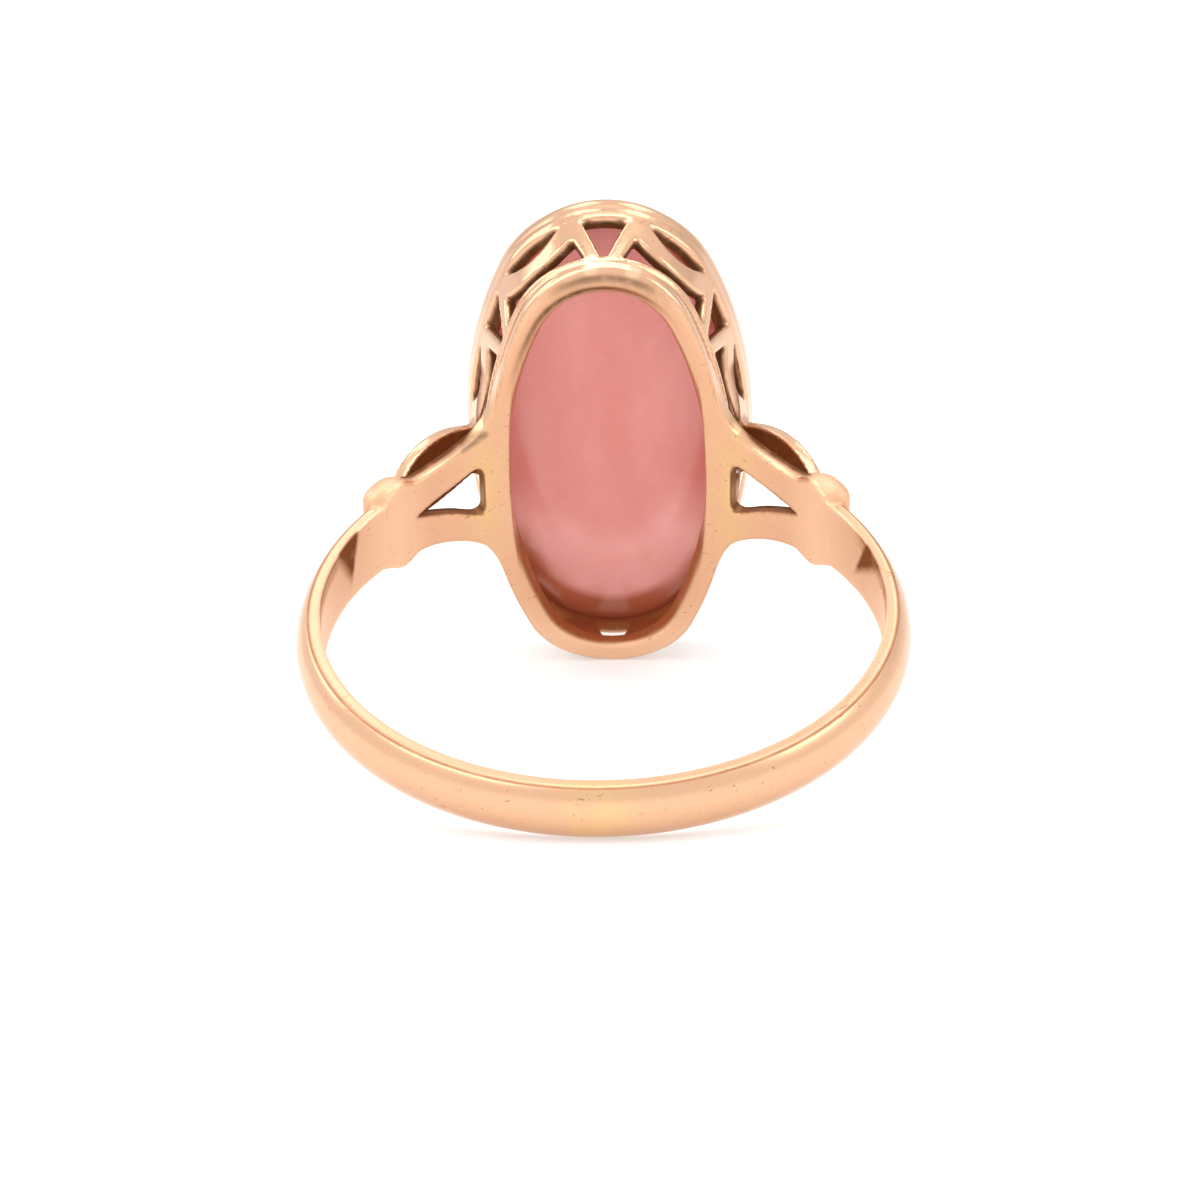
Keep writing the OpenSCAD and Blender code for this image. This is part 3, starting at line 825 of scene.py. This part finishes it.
class MakeSetting(bpy.types.Operator):
    """Head, shoulders and collars, as one soldered form"""
    bl_idname = "ring.make_setting"
    bl_label = "Head and shoulders"
    STEP = 0.084
    LOW = (0.0, 4.3, -8.75)
    HIGH = (8.9, 12.7, 8.75)
    # Only edges of the seam that turn more than this stay sharp
    SHARP = math.radians(40)

    # Strokes of fire stain where the upper arms meet the head, seen along the head's axis:
    # start and end as x and z, half width, strength
    STAINS = (((-4.70, 1.90), (-4.05, 2.16), 0.15, 0.9), ((-5.37, 1.67), (-4.92, 1.78), 0.07, 0.5),
              ((-4.45, 2.60), (-4.10, 3.10), 0.24, 0.8), ((4.20, 2.44), (4.26, 2.36), 0.16, 0.5))
    # Painted highlights of the lamps on drops of solder on the rail's upper end: x and z, and radius
    DROPS = ((-0.42, 7.80), (0.95, 7.66))
    DROP = 0.30
    # Half widths of the brown tarnish and the painted grey shade in the rail's two lines
    LINE_STAINS = (0.12, 0.22)
    # Distances at which other metal hides a place from the polishing cloth
    CLOTH = (0.15, 0.3, 0.6)
    # How high over the finger the flat faces of the arms, the painted highlights and the stains reach
    ARM_SKIN, DROP_TOP, STAIN_TOP = 0.04, 0.7, 0.9
    # The joint of rail and arm: place across the ring, half width, half length
    JOINT = (4.15, 0.55, 2.4)

    def from_stroke(self, x, z, start, stop):
        """Distance to a straight stroke, seen along the head's axis."""
        (at_x, at_z), (long_x, long_z) = start, np.subtract(stop, start)
        t = ((x - at_x) * long_x + (z - at_z) * long_z) / (long_x ** 2 + long_z ** 2)
        t = np.clip(t, 0.0, 1.0)
        return np.hypot(x - at_x - t * long_x, z - at_z - t * long_z)

    def meet_band(self, form, points):
        """Moves the points round the seam onto its edge, and says which they are."""
        near = self.STEP * 0.7
        rim = (np.abs(form.metal(points)) < near) & (np.abs(form.past_seam(points)) < near)
        for _ in range(6):
            for surface in (form.metal, form.past_seam):
                points[rim] += way_to(surface, points[rim], self.STEP)
        return points, rim

    def sharpen(self, piece, rim):
        """Only the edge of the seam is sharp, so that the surface runs on into the band."""
        mesh = piece.data
        mesh.set_sharp_from_angle(angle=self.SHARP)
        on_rim = rim[read_out(mesh.edges, "vertices", 2, np.int32)].all(axis=1)
        sharp_edge = mesh.attributes["sharp_edge"].data
        sharp_edge.foreach_set("value", read_out(sharp_edge, "value", 1, bool)[:, 0] & on_rim)

    def wear(self, piece, form, points, normals):
        """Tarnish in the recesses, stains and solder at the joints, and what the finger rubs.

        A ramp's two numbers say where a paint starts and where it is full, mostly in millimetres.
        """
        x, y, z = points.T
        side, end = np.abs(x), np.abs(z)
        rho = np.hypot(x, y)
        angle = np.arctan2(side, y)
        off, _ = form.oval.place(side, end)
        lean = form.off_face(off, y, end)
        facing = (normals[:, 0] * x + normals[:, 1] * y) / rho
        on_arm = rho < form.finger + form.shoulder.arm + self.ARM_SKIN
        close = ramp(hidden_places(form, points, normals, self.CLOTH), 0.30, 0.62)
        # The gallery's inner face, the ledge and the cut edges of the piercing
        gallery = ramp(y, form.finger + 0.28, form.finger + 0.7) * ramp(lean, -0.06, -0.2)
        gallery = gallery * ramp(off, -3.0, -2.0) * ramp(y, form.seat + 0.1, form.seat - 0.05)
        # Painted shade on the inner thickness of the fork
        edge = ramp(np.abs(facing), 0.75, 0.45) * on_arm * (angle < form.shoulder.collar - 0.02)
        fork_shade = edge * ramp(off, -0.12, 0.02) * ramp(end, 1.5, 1.2)
        # Painted shade on the leaf's hollow side and on the arm's edge below it
        hub_x, hub_y = form.LEAF_HUB
        below = form.shoulder.leaf_bend - form.shoulder.leaf - np.hypot(side - hub_x, y - hub_y)
        leaf_shade = ramp(below, -0.05, 0.0) * ramp(rho, form.finger + 0.12, form.finger + 0.42)
        leaf_shade = leaf_shade * ramp(off, 0.2, 0.5) * ramp(below, 1.7, 1.4)
        leaf_shade = leaf_shade * ramp(end, 3.4, 3.0) * ramp(side, 6.75, 6.6)
        # The rail's two lines: brown tarnish in the inner one and painted grey shade along the outer
        # one; and painted shade on the rail's inner side at the lower end
        brown_line, grey_shade_line = (form.face_line(off, z, rho, line, half)
                                 for line, half in zip(form.LINES, self.LINE_STAINS))
        brown_line = brown_line * ramp(x, 2.6, 0.6)
        grey_shade_line = grey_shade_line * ramp(np.abs(x - 0.1), 2.4, 0.9)
        lower_rail_shade = ramp(off + form.rail_width(z), 0.12, 0.0) * (y > form.finger * 0.9)
        lower_rail_shade = lower_rail_shade * (rho > form.finger + 0.05) * ramp(z, -1.5, -3.0)
        # Painted shade, in the lighter copper colour, on the rail's inner side and the gallery at the
        # head's lower end
        low = ramp(z, -1.0, -3.5) * np.maximum(lower_rail_shade, gallery)
        pierced = ramp(lean, -0.42, -0.30) * (y > form.rail_top) * (1 - leaf_shade) * (1 - low)
        paint(piece, "tarnish", 0.8 * close, gallery, 0.65 * fork_shade, leaf_shade, brown_line, lower_rail_shade)
        paint(piece, "umber", 0.15 * fork_shade, 0.7 * pierced, 0.6 * leaf_shade * on_arm,
              brown_line * ramp(x, 0.8, -1.2))
        paint(piece, "copper", low, 0.4 * fork_shade)
        # Painted light on the faces that lie on the finger, painted highlights on the rail's upper
        # end, and the joints
        rubbed = form.rubbed(rho)
        bead = np.minimum(*form.beads(side, y, end))
        paint(piece, "satin", 0.8 * rubbed, ramp(bead, 0.20, 0.08))
        glints = [ramp(np.hypot(x - at_x, z - at_z), self.DROP, 0.6 * self.DROP)
                 * (rho < form.finger + self.DROP_TOP) for at_x, at_z in self.DROPS]
        behind = ramp(np.degrees(angle), 40, 52)
        paint(piece, "worn", rubbed * np.maximum(behind, 0.7 * ramp(z, -4.5, -7.0)), *glints)
        joint_x, wide, long = self.JOINT
        joint = np.exp(-((side - joint_x) / wide) ** 2 - (z / long) ** 2)
        paint(piece, "solder", joint * (y < form.rail_top))
        # Fire stain in strokes, and painted grey shade along the rail's outer line
        strokes = [strong * ramp(self.from_stroke(x, z, start, stop), 1.6 * half, 0.4 * half)
                   for start, stop, half, strong in self.STAINS]
        paint(piece, "stain", reduce(np.maximum, (*strokes, grey_shade_line))
              * (rho < form.finger + self.STAIN_TOP))

    def execute(self, context):
        form = SolderedForm()
        points, quads = draw_form(form, self.LOW, self.HIGH, self.STEP)
        points, rim = self.meet_band(form, points)
        normals = slope_of(form, points, 0.01)
        normals /= np.maximum(np.linalg.norm(normals, axis=1, keepdims=True), 0.1)
        piece = mesh_object("setting", laid(points), quads)
        piece.data.materials.append(rose_gold())
        self.wear(piece, form, points, normals)
        seat_piece(piece, "ring_mount")
        self.sharpen(piece, rim)
        return {"FINISHED"}


class MakeBand(bpy.types.Operator):
    """The band, swept round the finger from collar to collar"""
    bl_idname = "ring.make_band"
    bl_label = "Band"
    AROUND = 420
    ACROSS = 96
    # The patch of tarnish is a triangle: it starts at this angle from the head, in degrees, with a
    # slanting edge, is longest at the band's upper edge and ends at this height
    PATCH_FROM = 66.5
    PATCH_SLANT = 2.6
    PATCH_LONG = 13.0
    PATCH_TIP = -0.85
    # The slant on the right against the one on the left: the other way, and steeper
    PATCH_RIGHT = -1.2
    # Only edges that turn more than this stay sharp
    SHARP = math.radians(50)
    # The section is found along rays from this share of the thickness, this much taller than wide,
    # by halving the way to a place outside so many times
    FROM = 0.45
    TALLER = 1.6
    OUTSIDE = 2.0
    HALVINGS = 30

    def profile(self, form):
        """The band's section at the seam: a loop of points, x outwards and y along the finger."""
        middle = np.array([form.finger + form.band.thick * self.FROM, 0.0])
        turns = np.arange(self.ACROSS) * 2 * math.pi / self.ACROSS
        ray = np.stack([np.cos(turns), np.sin(turns) * self.TALLER], axis=1)
        near, far = np.zeros(self.ACROSS), np.full(self.ACROSS, self.OUTSIDE)
        for _ in range(self.HALVINGS):
            tried = (near + far) / 2
            rho, z = (middle + ray * tried[:, None]).T
            outside = form.band_section(rho, form.seam_y, np.abs(z)) > 0
            far = np.where(outside, tried, far)
            near = np.where(outside, near, tried)
        return middle + ray * near[:, None] - [form.finger, 0.0]

    def wear(self, piece, form):
        """Brown tarnish behind the collars, painted dark reflections along the edges, the yellower
        joint below, and painted light on the face that lies on the finger.
        """
        x, y, z = read_out(piece.data.vertices, "co", 3, np.float32).T / MM
        rho = np.hypot(x, y)
        angle = np.degrees(np.arctan2(np.abs(x), y))
        inside = form.rubbed(rho)
        edge = self.PATCH_FROM - self.PATCH_SLANT * z * np.where(x < 0, 1.0, self.PATCH_RIGHT)
        far = edge + self.PATCH_LONG * np.clip((z - self.PATCH_TIP) / (1 - self.PATCH_TIP), 0, 1)
        patch = ramp(angle, edge, edge + 1.6) * ramp(angle, far + 1.0, far - 5.0) * inside
        # Painted dark reflection: a thin dark line along the band's upper inner rim
        rim = ramp(np.abs(rho - form.finger - 0.03), 0.06, 0.01) * ramp(z, 0.5, 0.8)
        rim = rim * (0.35 + 0.65 * ramp(angle, 100, 86)) * ramp(angle, 62, 70)
        # Painted dark reflection: a thin dark line along the edge between the side face and the crown
        half, crown = form.band_half(y), form.band.crown
        edge_at = form.band_out - crown + math.sqrt(crown ** 2 - form.band_half(form.seam_y) ** 2)
        line = ramp(np.abs(rho - edge_at), 0.06, 0.01) * ramp(z, 0.75 * half, 0.9 * half)
        face = ramp(z, 0.8 * half, 0.97 * half) * ramp(angle, 135, 105)
        paint(piece, "tarnish", patch, 0.8 * rim, 0.7 * line)
        paint(piece, "copper", 0.2 * patch)
        paint(piece, "umber", 0.3 * patch)
        paint(piece, "solder", 0.6 * ramp(angle, 171, 177))
        # Painted light: paler gold on the face that lies on the finger
        paint(piece, "worn", inside)
        paint(piece, "satin", 0.8 * inside, 0.4 * face, 0.25)

    def execute(self, context):
        form = SolderedForm()
        host = loop_object("band_section", [(x * MM, y * MM, 0.0) for x, y in self.profile(form)])
        t = FormTree("ring_band", {
            "Finger radius": form.finger * MM, "Thickness": form.band.thick * MM,
            "Width": form.band.width * MM,
            "Width at the seam": 2 * float(form.band_half(form.seam_y)) * MM,
            "Widening": form.band.widening, "Seam": form.seam,
            "Reach": (form.band_out + form.seam_y) * MM, "Around": self.AROUND,
            "Material": rose_gold()})
        seam = t.value("Seam")
        around = t.add("GeometryNodeCurveArc", ("Resolution", t.value("Around")),
                       ("Radius", t.value("Finger radius")), ("Start Angle", seam + math.pi / 2),
                       ("Sweep Angle", seam * -2.0 + 2 * math.pi))
        section = t.add("GeometryNodeMeshToCurve", ("Mesh", t.start.outputs["Geometry"]))
        sweep = t.add("GeometryNodeCurveToMesh", ("Curve", around.outputs["Curve"]),
                      ("Profile Curve", section.outputs["Curve"]), ("Fill Caps", True))
        x, y, z = t.split(t.add("GeometryNodeInputPosition").outputs["Position"])
        up = (y + t.value("Finger radius") + t.value("Thickness")) / t.value("Reach")
        low, high = t.value("Width"), t.value("Width at the seam")
        grown = up.math("MAXIMUM", 0.0) ** t.value("Widening")
        narrow = (low + grown * (high - low)) / high
        t.end(t.moved(sweep.outputs["Mesh"], x, y, z * narrow))
        piece = t.make("band", host)
        self.wear(piece, form)
        piece.data.transform(lie_down())
        seat_piece(piece, "ring_mount")
        piece.data.set_sharp_from_angle(angle=self.SHARP)
        return {"FINISHED"}


class MakeStone(bpy.types.Operator):
    """The cabochon: its outline shrinks along a meridian to the top of the dome"""
    bl_idname = "ring.make_stone"
    bl_label = "Stone"
    AROUND = 240
    BEVEL = 0.10
    BEVEL_RINGS = 5
    BACK_RINGS = 22
    DOME_RINGS = 48
    MERGE = 0.002

    def outline(self, oval, off):
        """Points of the oval, off millimetres outside the rail's outer edge."""
        side_turn = oval.side_angle
        turns = np.linspace(0, math.pi / 2, self.AROUND // 4 + 1)[:-1]
        at_end = turns < math.pi / 2 - side_turn
        x = np.where(at_end, (oval.end + off) * np.sin(turns),
                     oval.b - oval.side + (oval.side + off) * np.sin(turns))
        y = np.where(at_end, oval.a - oval.end + (oval.end + off) * np.cos(turns),
                     (oval.side + off) * np.cos(turns))
        quarter = np.stack([x, y], axis=1)
        mirrored = np.concatenate([[[oval.b + off, 0.0]], quarter[:0:-1] * [1, -1]])
        half = np.concatenate([quarter, mirrored])
        return np.concatenate([half, -half])

    def meridian(self, stone, foot):
        """Scale of the outline and height, from the middle of the back to the top of the dome."""
        b = self.BEVEL
        flat = 1 - b / 4
        back = [(r, 0.0) for r in np.linspace(0, flat, self.BACK_RINGS)]
        bevel = [(flat + b / 4 * math.sin(a), b * (1 - math.cos(a)))
                 for a in np.linspace(0, math.pi / 2, self.BEVEL_RINGS)[1:]]
        rise = [(math.cos(a), stone.edge + stone.dome * math.sin(a))
                for a in np.linspace(0, math.pi / 2, self.DOME_RINGS)]
        return [(r, foot + h) for r, h in back + bevel + rise]

    def veils(self, piece, form):
        """Painted light: a paler zone near the lower end of the back and along the sides. Painted
        shade: a red brown zone at the ledge.
        """
        x, y, z = read_out(piece.data.vertices, "co", 3, np.float32).T / MM
        off, _ = form.oval.place(np.abs(x), np.abs(z))
        back = ramp(y, form.seat + 0.5, form.seat + 0.1)
        from_middle = np.hypot(x / form.oval.b, z / form.oval.a)
        # Painted light: the stone paler near the lower end of its back and a little along its sides
        below = ramp(from_middle, 0.45, 0.84) * ramp(z, -1.2, -4.8)
        side_light = 0.12 * ramp(np.abs(x), 2.0, 3.6) * ramp(z, 4.0, 1.0)
        # Painted shade: red brown where the back nears the ledge at the lower end
        inward = off + 0.3 * ramp(z, -6.0, -7.4) - 0.35 * ramp(x, 1.0, 3.0)
        paint(piece, "veil_and_painted_light", below * back, side_light * back)
        paint(piece, "shade", ramp(inward, -0.90, -0.25) * ramp(z, -3.0, -5.4) * back)

    def execute(self, context):
        form = SolderedForm()
        outline = self.outline(form.oval, form.stone.off)
        meridian = self.meridian(form.stone, form.seat + form.stone.gap)
        rim = loop_object("rim", [(x * MM, y * MM, 0.0) for x, y in outline])
        side = loop_object("side", [(r, h * MM, 0.0) for r, h in meridian], closed=False)
        t = FormTree("cabochon", {"Meridian": side, "Around": len(outline) + 1,
                                  "Up": len(meridian), "Material": rose_quartz()})
        grid = t.add("GeometryNodeMeshGrid", ("Size X", 1.0), ("Size Y", 1.0),
                     ("Vertices X", t.value("Around")), ("Vertices Y", t.value("Up")))
        place = t.add("GeometryNodeInputPosition").outputs["Position"]
        across, along, _ = t.split(place)
        column = ((across + 0.5) * (t.value("Around") - 1.0)).math("ROUND")
        row = ((along + 0.5) * (t.value("Up") - 1.0)).math("ROUND")
        side_line = t.add("GeometryNodeObjectInfo", ("Object", t.value("Meridian")))
        found = []
        for line, number in ((t.start, column.math("MODULO", len(outline))), (side_line, row)):
            spot = t.add("GeometryNodeSampleIndex", ("Geometry", line.outputs["Geometry"]),
                         ("Index", number), ("Value", place), data_type="FLOAT_VECTOR")
            found.append(t.split(spot.outputs["Value"]))
        (rim_x, rim_y, _), (scale, height, _) = found
        shaped = t.moved(grid.outputs["Mesh"], rim_x * scale, height, rim_y * scale)
        closed = t.add("GeometryNodeMergeByDistance", ("Geometry", shaped),
                       ("Distance", self.MERGE * MM))
        t.end(closed.outputs["Geometry"])
        piece = t.make("cabochon", rim)
        bpy.data.objects.remove(side)
        self.veils(piece, form)
        piece.data.transform(lie_down())
        seat_piece(piece, "stone")
        return {"FINISHED"}


class MakeStage(bpy.types.Operator):
    """Floor, backdrop, studio light and camera"""
    bl_idname = "ring.make_stage"
    bl_label = "Stage"
    # Half the sheet's length, and against it where the sheet starts to curve up, the curve's radius
    # and half the sheet's width
    FLOOR_HALF = 0.6
    CURVE_FROM, CURVE, FLOOR_WIDE = 0.6, 0.3, 1.4
    CURVE_STEPS = 16
    # Soft boxes: place from the middle of the finger hole, side, brightness against the world, colour
    LAMPS = {
        "key_box": ((-0.15, -0.12, 0.20), 0.20, 1.85, (1.0, 0.97, 0.93)),
        "fill_box": ((0.21, -0.06, 0.15), 0.14, 1.8, (1.0, 0.98, 0.95)),
        "left_box": ((-0.17, 0.07, 0.115), 0.11, 1.75, (1.0, 1.0, 1.0)),
        "top_box": ((0.01, 0.00, 0.30), 0.18, 1.9, (1.0, 1.0, 1.0)),
        "back_box_left": ((-0.060, 0.155, 0.215), 0.070, 2.0, (1.0, 0.98, 0.94)),
        "back_box_right": ((0.075, 0.145, 0.215), 0.070, 2.0, (1.0, 0.98, 0.94)),
    }
    # The room is dim above the far edge of the sheet, which draws thin lines along rounded edges.
    # The dim belt fades in between these heights and depths, which run from 0 to 1
    ROOM, DIM = 1.15, 0.90
    BELT_FOOT, BELT_TOP, BELT_BACK = (0.10, 0.25), (0.68, 0.50), (0.25, 0.6)

    def floor(self):
        """A pale sheet that lies flat and sweeps up far behind."""
        half = self.FLOOR_HALF
        profile = [(-half, 0.0), (half * self.CURVE_FROM, 0.0)]
        profile += [(half * (self.CURVE_FROM + self.CURVE * math.sin(a)),
                     half * self.CURVE * (1 - math.cos(a)))
                    for a in np.linspace(0, math.pi / 2, self.CURVE_STEPS)[1:]]
        wide = half * self.FLOOR_WIDE
        points = np.array([(x, y, z) for y, z in profile for x in (-wide, wide)])
        faces = np.array([(2 * i, 2 * i + 1, 2 * i + 3, 2 * i + 2) for i in range(len(profile) - 1)])
        sheet = mesh_object("floor_sheet", points, faces)
        sheet.data.materials.append(stage_paper())

    def lamp(self, name, place, size, bright, tint):
        """A square soft box that faces the ring."""
        data = bpy.data.lights.new(name, "AREA")
        data.size = size
        data.energy = bright * math.pi * size ** 2
        data.color = tint
        box = placed(name, data)
        target = Vector(FINGER["pos_m"])
        box.location = target + Vector(place)
        box.rotation_euler = (target - box.location).to_track_quat("-Z", "Y").to_euler()

    def room(self):
        """A bright world, dimmer in a low belt behind the ring."""
        world = bpy.data.worlds.new("studio")
        world.use_nodes = True
        t = Tree(world.node_tree)
        _, back, up = t.split(t.add("ShaderNodeTexCoord").outputs["Generated"])
        belt = up.between(*self.BELT_FOOT) * up.between(*self.BELT_TOP)
        belt = belt * back.between(*self.BELT_BACK)
        background = t.tree.nodes["Background"].inputs
        feed(background["Strength"], belt * (self.DIM - self.ROOM) + self.ROOM)
        feed(background["Color"], (1.0, 1.0, 1.0, 1.0))
        bpy.context.scene.world = world

    def camera(self):
        """A long lens, placed against the ring's own axes."""
        c = settings("ring_camera")
        data = bpy.data.cameras.new("camera")
        data.lens = c.lens
        data.sensor_width = 36.0
        data.shift_x, data.shift_y = c.shift
        data.clip_start = 0.001
        eye = placed("camera", data)
        eye.matrix_world = (lie_down() @ Matrix.Rotation(-c.side, 4, "Z")
                            @ Matrix.Rotation(math.pi / 2 - c.height, 4, "X")
                            @ Matrix.Rotation(c.roll, 4, "Z")
                            @ Matrix.Translation((0, 0, c.distance)))
        bpy.context.scene.camera = eye

    def execute(self, context):
        self.floor()
        for name, lamp in self.LAMPS.items():
            self.lamp(name, *lamp)
        self.room()
        bpy.context.scene.view_settings.view_transform = "Standard"
        self.camera()
        return {"FINISHED"}


PIECE_OPERATORS = (MakeSetting, MakeBand, MakeStone, MakeStage)


class RingPanel(bpy.types.Panel):
    """Sizes, colours and the buttons that make the ring"""
    bl_label = "Rose quartz ring"
    bl_idname = "VIEW3D_PT_rose_quartz_ring"
    bl_space_type = "VIEW_3D"
    bl_region_type = "UI"
    bl_category = "Ring"

    def draw(self, context):
        for operator in PIECE_OPERATORS:
            self.layout.operator(operator.bl_idname)
        for name, group in SETTINGS.items():
            box = self.layout.box()
            box.label(text=group.__doc__)
            for key in group.__annotations__:
                box.prop(getattr(context.scene, name), key)


CLASSES = (*SETTINGS.values(), *PIECE_OPERATORS, RingPanel)


def register():
    for cls in CLASSES:
        bpy.utils.register_class(cls)
    for name, group in SETTINGS.items():
        setattr(bpy.types.Scene, name, PointerProperty(type=group))


def unregister():
    for name in SETTINGS:
        delattr(bpy.types.Scene, name)
    for cls in reversed(CLASSES):
        bpy.utils.unregister_class(cls)


def main():
    register()
    for operator in PIECE_OPERATORS:
        group, name = operator.bl_idname.split(".")
        getattr(getattr(bpy.ops, group), name)()


if __name__ == "__main__":
    main()
